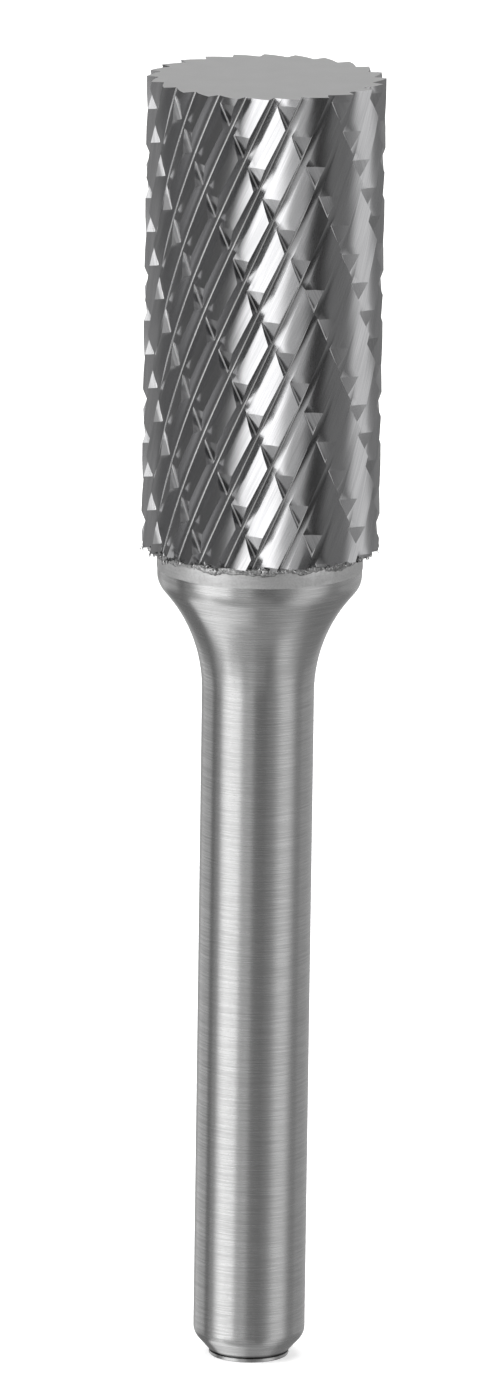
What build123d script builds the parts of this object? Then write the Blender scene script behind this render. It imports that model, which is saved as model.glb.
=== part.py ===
"""Double-cut carbide burr: a cylindrical tungsten carbide head brazed to a flared steel shank.

Lengths are in millimetres and angles in degrees. The burr stands on the small foot at the end of
its shank. The origin is the centre of the foot's face, and +Z runs up the axis to the flat end
of the head.
"""

from build123d import *
from math import cos, degrees, pi, radians, sin, tan
import os

# ---- head ------------------------------------------------------------------------------------
HEAD_DIAMETER = 12.7  # over the tooth crests
HEAD_LENGTH = 25.4

# Main flutes: right-hand, ground from end to end. A tooth's cutting face leans back from its
# crest down to the gullet, and its back rises straight to the next crest.
FLUTE_COUNT = 24
FLUTE_HELIX = 26.3
FLUTE_DEPTH = 0.62  # crest to gullet floor
FLUTE_FACE_LEAN = 0.26  # how far the cutting face runs along the circumference
FLUTE_FLOOR_WIDTH = 0.11  # narrow flat at the bottom of each gullet
FLUTE_PHASE = 1.3  # bearing of a crest on the end face

# Cross cuts: left-hand, shallower and fewer, so that they only notch the crests.
CROSS_COUNT = 12
CROSS_HELIX = 27.0
CROSS_DEPTH = 0.47
CROSS_BACK_WIDTH = 0.98  # long side of the notch, along the circumference
CROSS_WALL_WIDTH = 0.23  # short side of the notch
CROSS_OVERRUN = 1.5  # the sides are drawn this much longer, so that the lands clear the crests
CROSS_PHASE = 12.6  # bearing of the long side's upper edge on the end face

# ---- braze -----------------------------------------------------------------------------------
BRAZE_THICKNESS = 0.25
BRAZE_RIM = 0.08  # how far the disc of braze stands out from the collar

# ---- shank -----------------------------------------------------------------------------------
SHANK_DIAMETER = 6.0
SHANK_LENGTH = 39.62  # foot to the start of the flare, before that corner is blended
FLARE_LENGTH = 3.0
FLARE_BLEND_RADIUS = 8.2  # hollow blend from the shank into the flare
FLARE_CORNER_RADIUS = 1.3  # rounded edge between the flare and the collar
BLEND_SHARE = 0.95  # the most of a straight stretch that one blend may take up
COLLAR_LENGTH = 1.73
COLLAR_INSET = 0.23  # how far the collar lies inside the gullet floors
GROUND_BAND_LENGTH = 0.9  # top of the collar, ground clean after brazing
GROUND_BAND_STEP = 0.03

END_CHAMFER_LENGTH = 0.95
END_CHAMFER_WIDTH = 0.85
END_CORNER_RADIUS = 0.9
FOOT_HEIGHT = 0.2
FOOT_EDGE_CHAMFER = 0.05
FOOT_RELIEF_LENGTH = 0.08  # thin groove between the foot and the chamfer
FOOT_RELIEF_DEPTH = 0.1

# ---- worked out from the sizes above ---------------------------------------------------------
HEAD_RADIUS = HEAD_DIAMETER / 2
SHANK_RADIUS = SHANK_DIAMETER / 2
COLLAR_RADIUS = HEAD_RADIUS - FLUTE_DEPTH - COLLAR_INSET
FOOT_RADIUS = SHANK_RADIUS - END_CHAMFER_WIDTH

CHAMFER_START_Z = FOOT_HEIGHT + FOOT_RELIEF_LENGTH
FLARE_TOP_Z = SHANK_LENGTH + FLARE_LENGTH
BRAZE_Z = FLARE_TOP_Z + COLLAR_LENGTH
HEAD_Z = BRAZE_Z + BRAZE_THICKNESS


def on_circumference(arc, depth):
    """Point at a depth below the crest circle, an arc length round that circle from +X."""
    angle = arc / HEAD_RADIUS
    radius = HEAD_RADIUS - depth
    return (radius * cos(angle), radius * sin(angle))


def twisted_blank(outline, helix, top_bearing):
    """Closed outline drawn along the head with a steady twist, as a helix angle at the crests."""
    with BuildSketch() as section:
        with BuildLine():
            Polyline(*outline, close=True)
        make_face()
    twist = degrees(HEAD_LENGTH * tan(radians(helix)) / HEAD_RADIUS)
    base = Rot(0, 0, top_bearing - twist) * section.face()
    return Solid.extrude_linear_with_rotation(base, (0, 0, 0), (0, 0, HEAD_LENGTH), twist)


def fluted_blank():
    """Head with its main flutes only."""
    pitch = 2 * pi * HEAD_RADIUS / FLUTE_COUNT
    outline = []
    for flute in range(FLUTE_COUNT):
        crest = flute * pitch
        floor = crest + FLUTE_FACE_LEAN
        outline.append(on_circumference(crest, 0))
        outline.append(on_circumference(floor, FLUTE_DEPTH))
        outline.append(on_circumference(floor + FLUTE_FLOOR_WIDTH, FLUTE_DEPTH))
    return twisted_blank(outline, FLUTE_HELIX, FLUTE_PHASE)


def cross_cut_blank():
    """Oversize cylinder with the cross cuts only; the lands between them clear the crests."""
    pitch = 2 * pi * HEAD_RADIUS / CROSS_COUNT
    outline = []
    for cut in range(CROSS_COUNT):
        back_arc = cut * pitch
        floor_arc = back_arc - CROSS_BACK_WIDTH
        wall_arc = floor_arc - CROSS_WALL_WIDTH
        floor = Vector(*on_circumference(floor_arc, CROSS_DEPTH))
        wall_edge = Vector(*on_circumference(wall_arc, 0))
        back_edge = Vector(*on_circumference(back_arc, 0))
        outline.append(floor + (wall_edge - floor) * CROSS_OVERRUN)
        outline.append(floor)
        outline.append(floor + (back_edge - floor) * CROSS_OVERRUN)
    return twisted_blank(outline, -CROSS_HELIX, CROSS_PHASE)


def make_carbide_head():
    """The teeth are what both rounds of grinding leave standing."""
    teeth = fluted_blank() & cross_cut_blank()
    return Pos(0, 0, HEAD_Z) * teeth


def make_braze_joint():
    """Thin disc of filler metal that stands a little proud of the collar."""
    disc = Cylinder(
        COLLAR_RADIUS + BRAZE_RIM,
        BRAZE_THICKNESS,
        align=(Align.CENTER, Align.CENTER, Align.MIN),
    )
    return Pos(0, 0, BRAZE_Z) * disc


def blend_radius(wanted, length, turn):
    """A blend's radius, limited to what a wall of this length leaves room for."""
    return min(wanted, BLEND_SHARE * length / tan(turn / 2))


def make_steel_shank():
    """Foot, chamfered end, plain shank, hollow flare and collar, turned in one piece."""
    neck_radius = COLLAR_RADIUS - GROUND_BAND_STEP
    band_z = BRAZE_Z - GROUND_BAND_LENGTH
    relief_radius = FOOT_RADIUS - FOOT_RELIEF_DEPTH
    up = Vector(0, 1)

    slant = Vector(neck_radius - SHANK_RADIUS, FLARE_LENGTH)
    turn = radians(slant.get_angle(up))
    edge = blend_radius(FLARE_CORNER_RADIUS, min(slant.length / 2, band_z - FLARE_TOP_Z), turn)
    hollow = blend_radius(FLARE_BLEND_RADIUS, slant.length - edge * tan(turn / 2), turn)

    chamfer = Vector(END_CHAMFER_WIDTH, END_CHAMFER_LENGTH)
    end_turn = radians(chamfer.get_angle(up))
    end_edge = blend_radius(END_CORNER_RADIUS, chamfer.length, end_turn)

    # each corner of the turned outline, from the foot up, with the radius it is rounded to
    outline = [
        ((FOOT_RADIUS - FOOT_EDGE_CHAMFER, 0), 0),
        ((FOOT_RADIUS, FOOT_EDGE_CHAMFER), 0),
        ((FOOT_RADIUS, FOOT_HEIGHT), 0),
        ((relief_radius, FOOT_HEIGHT), 0),
        ((relief_radius, CHAMFER_START_Z), 0),
        ((FOOT_RADIUS, CHAMFER_START_Z), 0),
        ((SHANK_RADIUS, CHAMFER_START_Z + END_CHAMFER_LENGTH), end_edge),
        ((SHANK_RADIUS, SHANK_LENGTH), hollow),
        ((neck_radius, FLARE_TOP_Z), edge),
        ((neck_radius, band_z), 0),
        ((COLLAR_RADIUS, band_z), 0),
        ((COLLAR_RADIUS, BRAZE_Z), 0),
    ]
    foot_centre, joint_centre = (0, 0), (0, BRAZE_Z)
    corners = [place for place, _ in outline]
    radii = [radius for _, radius in outline]
    with BuildPart() as shank:
        with BuildSketch(Plane.XZ):
            with BuildLine():
                FilletPolyline(foot_centre, *corners, joint_centre, radius=radii)
                Line(joint_centre, foot_centre)
            make_face()
        revolve(axis=Axis.Z)
    return shank.part


os.makedirs("parts", exist_ok=True)
export_step(make_carbide_head(), "parts/carbide_head.step")
export_step(make_braze_joint(), "parts/braze_joint.step")
export_step(make_steel_shank(), "parts/steel_shank.step")
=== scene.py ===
"""Dressing of a double-cut carbide burr: ground teeth, ragged braze line, turned shank and studio.

The CAD model is loaded as a fixed frame. Each piece is made in metres in that frame and stands
in for the plain solid of the same part.
"""

from math import atan2, cos, pi, radians, sin, sqrt, tan

import bmesh
import bpy
from bpy.props import FloatProperty, FloatVectorProperty, IntProperty, PointerProperty
from mathutils import Matrix, Vector


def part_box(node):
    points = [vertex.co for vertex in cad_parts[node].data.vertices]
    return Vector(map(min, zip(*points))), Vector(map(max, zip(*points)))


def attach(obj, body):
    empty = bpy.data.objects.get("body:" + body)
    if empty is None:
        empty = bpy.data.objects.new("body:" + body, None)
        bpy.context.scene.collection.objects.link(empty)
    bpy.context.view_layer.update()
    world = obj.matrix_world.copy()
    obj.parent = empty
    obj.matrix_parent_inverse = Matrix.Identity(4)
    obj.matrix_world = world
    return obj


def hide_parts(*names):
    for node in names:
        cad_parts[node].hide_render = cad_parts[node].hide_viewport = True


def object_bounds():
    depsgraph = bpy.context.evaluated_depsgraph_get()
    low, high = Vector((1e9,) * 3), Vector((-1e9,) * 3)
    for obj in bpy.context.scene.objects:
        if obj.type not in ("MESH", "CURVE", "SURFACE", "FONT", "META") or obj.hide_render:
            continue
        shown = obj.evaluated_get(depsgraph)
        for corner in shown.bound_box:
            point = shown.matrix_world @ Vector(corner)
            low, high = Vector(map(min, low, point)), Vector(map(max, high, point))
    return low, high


bl_info = {
    "name": "Carbide burr dressing",
    "version": (1, 0, 0),
    "blender": (4, 5, 0),
    "location": "View3D > Sidebar > Carbide burr",
    "description": "Grinds the teeth, runs the braze, turns the shank and sets up the studio",
    "category": "Object",
}

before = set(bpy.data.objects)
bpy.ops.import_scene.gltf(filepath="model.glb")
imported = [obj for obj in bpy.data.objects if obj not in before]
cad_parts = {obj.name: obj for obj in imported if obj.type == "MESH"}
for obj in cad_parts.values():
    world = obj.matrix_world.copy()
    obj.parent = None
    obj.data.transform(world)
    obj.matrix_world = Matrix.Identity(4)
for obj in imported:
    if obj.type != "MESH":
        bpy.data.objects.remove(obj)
CAD_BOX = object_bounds()
HEAD_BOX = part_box("carbide_head")
BRAZE_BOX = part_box("braze_joint")

MM = 0.001
EDGE_SLACK = 0.002 * MM  # surfaces this close to an edge count as past it
LEVEL_SLACK = 0.001 * MM  # vertices this close to a level count as on it
CUT_SLACK = 0.00001 * MM  # the same, where the head is cut to length
DEPTH_SLACK = 0.000001 * MM  # depths this close count as the same


# ---- settings --------------------------------------------------------------------------------


def length(name, description, millimetres, least=0.0):
    """Length setting, shown in scene units and given here in millimetres."""
    return FloatProperty(
        name=name,
        description=description,
        default=millimetres * MM,
        min=least * MM,
        subtype="DISTANCE",
        unit="LENGTH",
        precision=5,
    )


def angle(name, description, degrees_):
    """Angle setting, given here in degrees."""
    return FloatProperty(
        name=name, description=description, default=radians(degrees_), subtype="ANGLE"
    )


def count(name, description, default, least):
    """Whole number of at least least."""
    return IntProperty(name=name, description=description, default=default, min=least)


def share(name, description, default, most=1.0):
    """Plain number from 0 to most."""
    return FloatProperty(name=name, description=description, default=default, min=0.0, max=most)


def tint(name, description, colour):
    """Linear colour setting."""
    return FloatVectorProperty(
        name=name, description=description, default=colour, min=0.0, max=1.0, size=3, subtype="COLOR"
    )


class BurrTeethSettings(bpy.types.PropertyGroup):
    """Sizes of the ground head"""

    crest_radius: length("Crest radius", "Radius over the tooth crests", HEAD_BOX[1].x / MM)
    flute_count: count("Flutes", "Main flutes round the head", 24, 4)
    flute_helix: angle("Flute helix", "Right-hand helix angle of the flutes at the crests", 26.3)
    flute_depth: length("Flute depth", "Crest to gullet floor", 0.62)
    face_lean: length("Face lean", "How far the cutting face runs along the circumference", 0.26)
    gullet_width: length("Gullet width", "Width of the gullet floor", 0.11)
    back_crown: length("Back crown", "How far a tooth's back bulges between gullet and crest", 0.075)
    notch_crown: length("Notch crown", "How far a notch's long side bulges", 0.04)
    gullet_radius: length("Gullet radius", "Rounding at each side of the gullet floor", 0.035)
    flute_bearing: angle("Flute bearing", "Bearing of a crest on the end face", 1.3)
    cross_count: count("Cross cuts", "Left-hand cuts round the head", 12, 2)
    cross_helix: angle("Cross helix", "Left-hand helix angle of the cross cuts", 27.0)
    cross_depth: length("Cross depth", "Depth of the notches below the crests", 0.47)
    cross_back: length("Notch back", "Long side of a notch, along the circumference", 0.98)
    cross_wall: length("Notch wall", "Short side of a notch, along the circumference", 0.23)
    cross_radius: length("Notch radius", "Rounding at the bottom of a notch", 0.07)
    # this share sets how matte a notch floor is, and how much of the floors' painted highlight colour it
    # takes
    notch_matte: share("Notch floor matte", "How matte a notch's floor is beside a gullet's", 0.4)
    cross_bearing: angle("Notch bearing", "Bearing of a notch's upper edge on the end face", 12.6)
    waviness: length("Grinding waviness", "How far the ground faces wander", 0.007)
    wave_size: length("Waviness length", "Distance over which the ground faces wander", 1.1)
    seed: count("Seed", "Seed of the waviness", 4, 0)


class BurrBrazeSettings(bpy.types.PropertyGroup):
    """Sizes of the braze line and the burrs that grinding left along it"""

    segments: count("Segments", "Steps round the braze line", 720, 24)
    fillet: length("Fillet", "How far the braze reaches out under the teeth", 0.45)
    reach: length("Reach", "How far the braze has run down over the collar at most", 0.34)
    run_size: length("Run size", "Distance over which the run braze comes and goes", 1.5)
    unevenness: length("Unevenness", "How far the braze stands in and out", 0.05)
    lump_size: length("Lump size", "Size of the lumps in the braze", 0.22)
    lip_steps: count("Lip steps", "Steps of the burr along the teeth", 1500, 24)
    lip_thickness: length("Lip thickness", "Thickest part of the burr along the teeth's lower edge", 0.055)
    lip_wander: length("Lip wander", "How far that burr strays from the edge", 0.05)
    flake_spots: count("Flake spots", "Places along the edge for flakes", 640, 1)
    flake_share: share("Flake share", "Share of those places that carry a flake", 0.34)
    flake_length: length("Flake length", "Longest flake hanging from a tooth's lower edge", 0.30)
    curl_spots: count("Curl spots", "Places along the edge for rolled burrs", 110, 1)
    curl_share: share("Curl share", "Share of those places that carry a rolled burr", 0.2)
    curl_size: length("Curl size", "Width of the largest rolled burr", 0.40)
    seed: count("Seed", "Seed of the ragged braze and burrs", 11, 0)


class BurrShankSettings(bpy.types.PropertyGroup):
    """Sizes of the turned shank"""

    shank_radius: length("Shank radius", "Radius of the plain shank", 3.0)
    flare_start: length("Flare start", "Height at which the shank starts to flare", 39.62)
    flare_length: length("Flare length", "Height of the flare", 3.0)
    hollow_radius: length("Hollow radius", "Blend from the shank into the flare", 8.2)
    shoulder_radius: length("Shoulder radius", "Rounding between the flare and the collar", 1.3)
    collar_radius: length("Collar radius", "Radius of the collar under the head", 5.5)
    band_length: length("Ground band", "Length of the collar that was ground clean", 0.9)
    band_step: length("Band step", "How far the ground band stands out", 0.03)
    chamfer_length: length("Chamfer length", "Length of the chamfer at the foot", 0.95)
    chamfer_width: length("Chamfer width", "Width of the chamfer at the foot", 0.85)
    chamfer_radius: length("Chamfer rounding", "Rounding above the chamfer", 0.9)
    foot_height: length("Foot height", "Height of the small foot", 0.2)
    relief_length: length("Relief length", "Width of the groove above the foot", 0.08)
    relief_depth: length("Relief depth", "Depth of the groove above the foot", 0.1)
    foot_edge: length("Foot edge", "Chamfer round the foot's face", 0.05)
    segments: count("Segments", "Steps round the shank", 160, 24)


class BurrFinishSettings(bpy.types.PropertyGroup):
    """Colours and finishes"""

    carbide: tint("Carbide", "Ground tungsten carbide", (0.36, 0.36, 0.365))
    carbide_dull: tint("Dull carbide", "Carbide in the darker grinding lines", (0.31, 0.31, 0.315))
    # painted highlight: the cut floors are painted paler than the carbide, standing for the light lines that
    # reflections draw along the gullets and notches; their matte finish is real
    cut_floor: tint("Cut floors", "Matte floors of the gullets and notches", (0.62, 0.62, 0.62))
    end_face: tint("End face", "Matte ground end of the head", (0.57, 0.57, 0.57))
    steel: tint("Steel", "Turned steel", (0.50, 0.50, 0.50))
    steel_dull: tint("Dull steel", "Steel in the darker scratches", (0.39, 0.39, 0.39))
    # painted shade: the Groove colour is a near-black laid in the groove above the foot, where shade falls
    groove: tint("Groove", "Dirt in the groove above the foot", (0.06, 0.06, 0.06))
    band: tint("Ground band", "Steel ground clean below the braze", (0.60, 0.60, 0.60))
    braze: tint("Braze", "Bright parts of the braze", (0.66, 0.66, 0.66))
    braze_dark: tint("Dark braze", "Flux-stained parts of the braze", (0.16, 0.16, 0.16))


class BurrStageSettings(bpy.types.PropertyGroup):
    """Camera, floor, walls and lamps"""

    camera_distance: length("Camera distance", "From the lens to the aim point", 870.0)
    camera_elevation: angle("Camera elevation", "Height of the camera above the horizon", 13.3074)
    camera_roll: angle("Camera roll", "Lean of the camera", 0.8136)
    focal_length: FloatProperty(
        name="Focal length",
        description="Focal length of the lens",
        default=419.05,
        min=1.0,
        subtype="DISTANCE_CAMERA",
    )
    aim_aside: length("Aim aside", "How far left of the axis the camera aims", 0.4192)
    aim_height: length("Aim height", "Height at which the camera aims", 36.1176)
    floor: tint("Floor", "Pale studio floor", (0.86, 0.86, 0.86))
    wall_radius: length("Wall radius", "Distance of the studio wall", 800.0)
    wall_strength: share("Wall strength", "Brightness of the palest part of the wall", 3.2, 20.0)
    lamp_power: share("Lamp power", "Power of the soft lamps in watts", 9.0, 500.0)


# ---- small helpers ---------------------------------------------------------------------------

NODES_A_ROW = 12  # how the nodes are laid out in the editor
NODE_STEP_ACROSS, NODE_STEP_DOWN = 190, 230
MIX_SOCKETS = {"FLOAT": (2, 3, 0), "VECTOR": (4, 5, 1), "RGBA": (6, 7, 2)}  # two inputs and the output
SOCKET_KINDS = {int: "Int", float: "Float", bpy.types.Object: "Object", bpy.types.Material: "Material"}


def titled(name):
    """A setting's name as the title of a tree's input."""
    return name.replace("_", " ").title()


def new_piece(name, mesh):
    """Object for a finished mesh, at the origin, in the scene."""
    made = bpy.data.objects.new(name, mesh)
    bpy.context.scene.collection.objects.link(made)
    return made


def add_to_object(piece, slot_name, *nodes):
    """The piece rides on the burr's one body and stands in for these solids."""
    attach(piece, "root")
    if nodes:
        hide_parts(*nodes)


def finished_mesh(work, name):
    """Plain mesh from faces that are all in place."""
    mesh = bpy.data.meshes.new(name)
    work.to_mesh(mesh)
    work.free()
    return mesh


def add_fan(work, rim, level):
    """Closes an open rim with a fan to its centre at a level, and returns the fan's faces."""
    centre = work.verts.new((0.0, 0.0, level))
    fan = []
    for edge in rim:
        loop = edge.link_loops[0]
        face = work.faces.new((loop.link_loop_next.vert, loop.vert, centre))
        face.material_index = loop.face.material_index
        fan.append(face)
    return fan


class Value:
    """What one output in a node tree gives; arithmetic on it places math nodes."""

    def __init__(self, tree, socket):
        self.tree, self.socket = tree, socket

    def math(self, operation, *others):
        """Result of a math node over this and other numbers."""
        return self.tree.math(operation, self, *others)

    def __add__(self, other):
        return self.math("ADD", other)

    def __sub__(self, other):
        return self.math("SUBTRACT", other)

    def __mul__(self, other):
        return self.math("MULTIPLY", other)

    def __truediv__(self, other):
        return self.math("DIVIDE", other)

    def vector(self, operation, *others):
        """Result of a vector math node over this and other vectors."""
        return self.tree.out("ShaderNodeVectorMath", dict(enumerate((self, *others))), operation=operation)

    def scaled(self, factor):
        """This vector times a number."""
        return self.tree.out("ShaderNodeVectorMath", {0: self, "Scale": factor}, operation="SCALE")

    def parts(self):
        """The three parts of this vector."""
        return self.tree.outputs("ShaderNodeSeparateXYZ", {0: self}, 0, 1, 2)

    def ranged(self, low, high, to_low=0.0, to_high=1.0, shape="LINEAR"):
        """This number carried from one range to another and held at its ends."""
        filled = {"Value": self, "From Min": low, "From Max": high, "To Min": to_low, "To Max": to_high}
        return self.tree.out("ShaderNodeMapRange", filled, interpolation_type=shape)


class Tree:
    """A node tree that is being built."""

    def __init__(self, made):
        self.made = made

    def fill(self, node, filled):
        """Links or fills a node's inputs."""
        for place, value in filled.items():
            socket = node.inputs[place]
            if isinstance(value, Value):
                self.made.links.new(value.socket, socket)
            elif socket.type == "RGBA":
                socket.default_value = (*value[:3], 1.0)
            else:
                socket.default_value = value

    def place(self, kind, filled, **options):
        """Adds a node, sets its options, and links or fills its inputs."""
        node = self.made.nodes.new(kind)
        down, across = divmod(len(self.made.nodes), NODES_A_ROW)
        node.location = (NODE_STEP_ACROSS * across, -NODE_STEP_DOWN * down)
        for option, value in options.items():
            setattr(node, option, value)
        self.fill(node, filled)
        return node

    def outputs(self, kind, filled, *names, **options):
        """Some outputs of a new node."""
        node = self.place(kind, filled, **options)
        return [Value(self, node.outputs[name]) for name in names]

    def out(self, kind, filled=(), name=0, **options):
        """One output of a new node."""
        return self.outputs(kind, dict(filled), name, **options)[0]

    def math(self, operation, *values):
        """Result of a math node over values or numbers."""
        return self.out("ShaderNodeMath", dict(enumerate(values)), operation=operation)

    def point(self, *parts):
        """Vector from its three parts."""
        return self.out("ShaderNodeCombineXYZ", dict(enumerate(parts)))

    def rolled_spot(self, radius, bearing, height):
        """Point at a radius and bearing round the axis, and a height."""
        return self.point(radius * bearing.math("COSINE"), radius * bearing.math("SINE"), height)

    def noise(self, where, scale, detail=2.0, roughness=0.5):
        """Number and colour of a noise."""
        filled = {"Vector": where, "Scale": scale, "Detail": detail, "Roughness": roughness}
        return self.outputs("ShaderNodeTexNoise", filled, 0, 1)

    def seeded_noise(self, size, seed, detail=2.0, roughness=0.5):
        """Number and colour of a noise over each point's place, with features of about a size."""
        where = self.out("GeometryNodeInputPosition").vector("ADD", self.point(seed, 0.0, 0.0))
        return self.noise(where, self.math("DIVIDE", 1.0, size), detail, roughness)

    def mix(self, factor, first, second, kind="FLOAT"):
        """Mix of two numbers, vectors or colours."""
        first_place, second_place, result = MIX_SOCKETS[kind]
        filled = {0: factor, first_place: first, second_place: second}
        return self.out("ShaderNodeMix", filled, result, data_type=kind)

    def tinted(self, factor, first, second):
        """Mix of two colours."""
        return self.mix(factor, first, second, "RGBA")

    def bump(self, height, strength, distance):
        """Normals that follow a height."""
        return self.out("ShaderNodeBump", {"Strength": strength, "Distance": distance, "Height": height})

    def attribute(self, name, output="Fac"):
        """A piece's own mark, read in its material."""
        return self.out("ShaderNodeAttribute", name=output, attribute_name=name)

    def group(self, maker, *values, **named):
        """Outputs of a shader group that is built once; its inputs are filled in order and by name."""
        shared = bpy.data.node_groups.get(maker.__name__) or maker().made
        node = self.place("ShaderNodeGroup", {}, node_tree=shared)
        self.fill(node, dict(enumerate(values)))
        self.fill(node, {titled(name): value for name, value in named.items()})
        return [Value(self, socket) for socket in node.outputs]

    def moved(self, geometry, **moves):
        """Geometry with its points put at a Position or moved by an Offset."""
        return self.out("GeometryNodeSetPosition", {"Geometry": geometry, **moves})

    def strayed(self, geometry, noise_colour, distance):
        """Geometry with each point moved by up to a distance, as the colour of a noise says."""
        way = noise_colour.vector("SUBTRACT", (0.5, 0.5, 0.5))
        return self.moved(geometry, Offset=way.scaled(distance * 2.0))

    def joined(self, geometry, distance):
        """Geometry with points that lie closer than a distance made one."""
        return self.out("GeometryNodeMergeByDistance", {"Geometry": geometry, "Distance": distance})

    def give(self, *results):
        """Ends the tree: its outputs in order."""
        self.fill(self.made.nodes.new("NodeGroupOutput"), dict(enumerate(results)))
        return self

    def give_geometry(self, geometry, material):
        """Ends a geometry tree: real faces, with the material."""
        real = self.out("GeometryNodeRealizeInstances", {0: geometry})
        return self.give(self.out("GeometryNodeSetMaterial", {"Geometry": real, "Material": material}))

    def give_smooth(self, geometry, material):
        """Ends a geometry tree that is shaded smoothly all over."""
        filled = {"Geometry": geometry, "Shade Smooth": True}
        return self.give_geometry(self.out("GeometryNodeSetShadeSmooth", filled), material)


def new_tree(kind, name, inputs, *outputs):
    """Node tree and its inputs by name; each is given by a value, or by its kind where it has none."""
    made = bpy.data.node_groups.new(name, kind + "NodeTree")
    for title, given in inputs.items():
        socket_kind = "NodeSocket" + SOCKET_KINDS.get(type(given), given)
        socket = made.interface.new_socket(title, in_out="INPUT", socket_type=socket_kind)
        if isinstance(given, (int, float)):
            socket.default_value = given
    for title, socket_kind in outputs:
        made.interface.new_socket(title, in_out="OUTPUT", socket_type="NodeSocket" + socket_kind)
    tree = Tree(made)
    return tree, {socket.name: Value(tree, socket) for socket in made.nodes.new("NodeGroupInput").outputs}


def geometry_tree(name, values):
    """Geometry tree for a modifier, with an input for each value, and its inputs by name."""
    tree, to = new_tree("Geometry", name, {"Geometry": "Geometry", **values}, ("Geometry", "Geometry"))
    tree.made.is_modifier = True
    return tree, to


def taken(settings, names):
    """These settings by title, as a tree's values."""
    return {titled(name): getattr(settings, name) for name in names.split()}


def grow_piece(name, maker, values):
    """Runs a geometry tree, built once, on an empty mesh and returns its result as a plain mesh."""
    tree = bpy.data.node_groups.get(maker.__name__) or maker(values).made
    carrier = new_piece(name + "_growing", bpy.data.meshes.new(name + "_start"))
    modifier = carrier.modifiers.new(tree.name, "NODES")
    modifier.node_group = tree
    for item in tree.interface.items_tree:
        if item.item_type == "SOCKET" and item.in_out == "INPUT" and item.name in values:
            modifier[item.identifier] = values[item.name]
    carrier.update_tag()
    bpy.context.view_layer.update()
    graph = bpy.context.evaluated_depsgraph_get()
    mesh = bpy.data.meshes.new_from_object(carrier.evaluated_get(graph))
    mesh.name = name
    bpy.data.objects.remove(carrier)
    if not mesh.polygons:
        raise RuntimeError(name + " came out empty")
    return mesh


# ---- section geometry ------------------------------------------------------------------------


HALVINGS = 40  # steps that close in on where a bow passes a depth


def at_level(vertex, level):
    """Whether a vertex lies at a height."""
    return abs(vertex.co.z - level) < LEVEL_SLACK


def section_point(arc, depth, radius):
    """Point in the head's section: an arc length round the crest circle and a depth below it."""
    turn = arc / radius
    return Vector(((radius - depth) * cos(turn), (radius - depth) * sin(turn)))


def unrolled(point, radius):
    """Arc length and depth of a point in the section."""
    return atan2(point.y, point.x) * radius, radius - point.length


def arc_at_depth(start, end, depth, radius):
    """Where the straight cut from start to end passes a depth, as an arc length."""
    run = end - start
    a, b = run.dot(run), 2 * start.dot(run)
    c = start.dot(start) - (radius - depth) ** 2
    root = sqrt(max(b * b - 4 * a * c, 0.0))
    ways = [(-b - root) / (2 * a), (-b + root) / (2 * a)]
    way = min(ways, key=lambda t: abs(t - 0.5))
    return unrolled(start + run * way, radius)[0]


def crowned_point(start, end, crown, t):
    """Point a share t of the way from start to end, on a shallow bow that bulges outwards."""
    run = end - start
    outward = Vector((run.y, -run.x)).normalized()
    return start + run * t + outward * (4 * crown * t * (1 - t))


def crowned_levels(start, end, crown, levels, radius):
    """Arc lengths and depths where the bow from a deep start to its end passes each depth, deep first."""
    passed = []
    for depth in reversed(levels):
        low, high = 0.0, 1.0
        for _ in range(HALVINGS):
            middle = (low + high) / 2
            if unrolled(crowned_point(start, end, crown, middle), radius)[1] > depth:
                low = middle
            else:
                high = middle
        passed.append((unrolled(crowned_point(start, end, crown, low), radius)[0], depth))
    return passed


def rounded_corner(before, corner, after, radius, steps):
    """Points of the arc that rounds a corner, from the side of before to the side of after."""
    to_before, to_after = (before - corner).normalized(), (after - corner).normalized()
    half = to_before.angle(to_after) / 2
    reach = radius / tan(half)
    centre = corner + (to_before + to_after).normalized() * (radius / sin(half))
    first = corner + to_before * reach - centre
    last = corner + to_after * reach - centre
    turn = atan2(first.cross(last), first.dot(last))
    points = []
    for step in range(steps + 1):
        t = turn * step / steps
        across = first.x * cos(t) - first.y * sin(t)
        along = first.x * sin(t) + first.y * cos(t)
        points.append(centre + Vector((across, along)))
    return points


# ---- shader groups ---------------------------------------------------------------------------

SURFACE_OUTPUTS = (("Height", "Float"), ("Shade", "Float"))
WIDE_LINES = (0.13, 0.5, 0.5)  # how many wide lines and runs there are to each fine one
LINE_CONTRAST, GRAIN_CONTRAST = (0.36, 0.64), (0.35, 0.65)  # noise that counts as dark and as pale
GRAIN_SHARE, PATCH_SHARE = 0.7, 0.3


def grinding_lines():
    """Fine parallel lines: they run along the pattern's second axis and crowd along its first."""
    inputs = {
        "Pattern": "Vector",
        "Lines Per Metre": 20000.0,
        "Runs Per Metre": 300.0,
        "Roughening": 0.6,
        "Banding": 0.4,
    }
    tree, to = new_tree("Shader", "grinding_lines", inputs, *SURFACE_OUTPUTS)
    across, along, aside = to["Pattern"].parts()
    runs = to["Runs Per Metre"]
    stretched = tree.point(across * to["Lines Per Metre"], along * runs, aside * runs)
    fine, _ = tree.noise(stretched, 1.0, detail=4.0, roughness=to["Roughening"])
    wide, _ = tree.noise(stretched.vector("MULTIPLY", WIDE_LINES), 1.0)
    height = fine + wide * (to["Banding"] * 2.0)
    shade = tree.mix(to["Banding"], fine, wide).ranged(*LINE_CONTRAST, shape="SMOOTHSTEP")
    return tree.give(height, shade)


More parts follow.
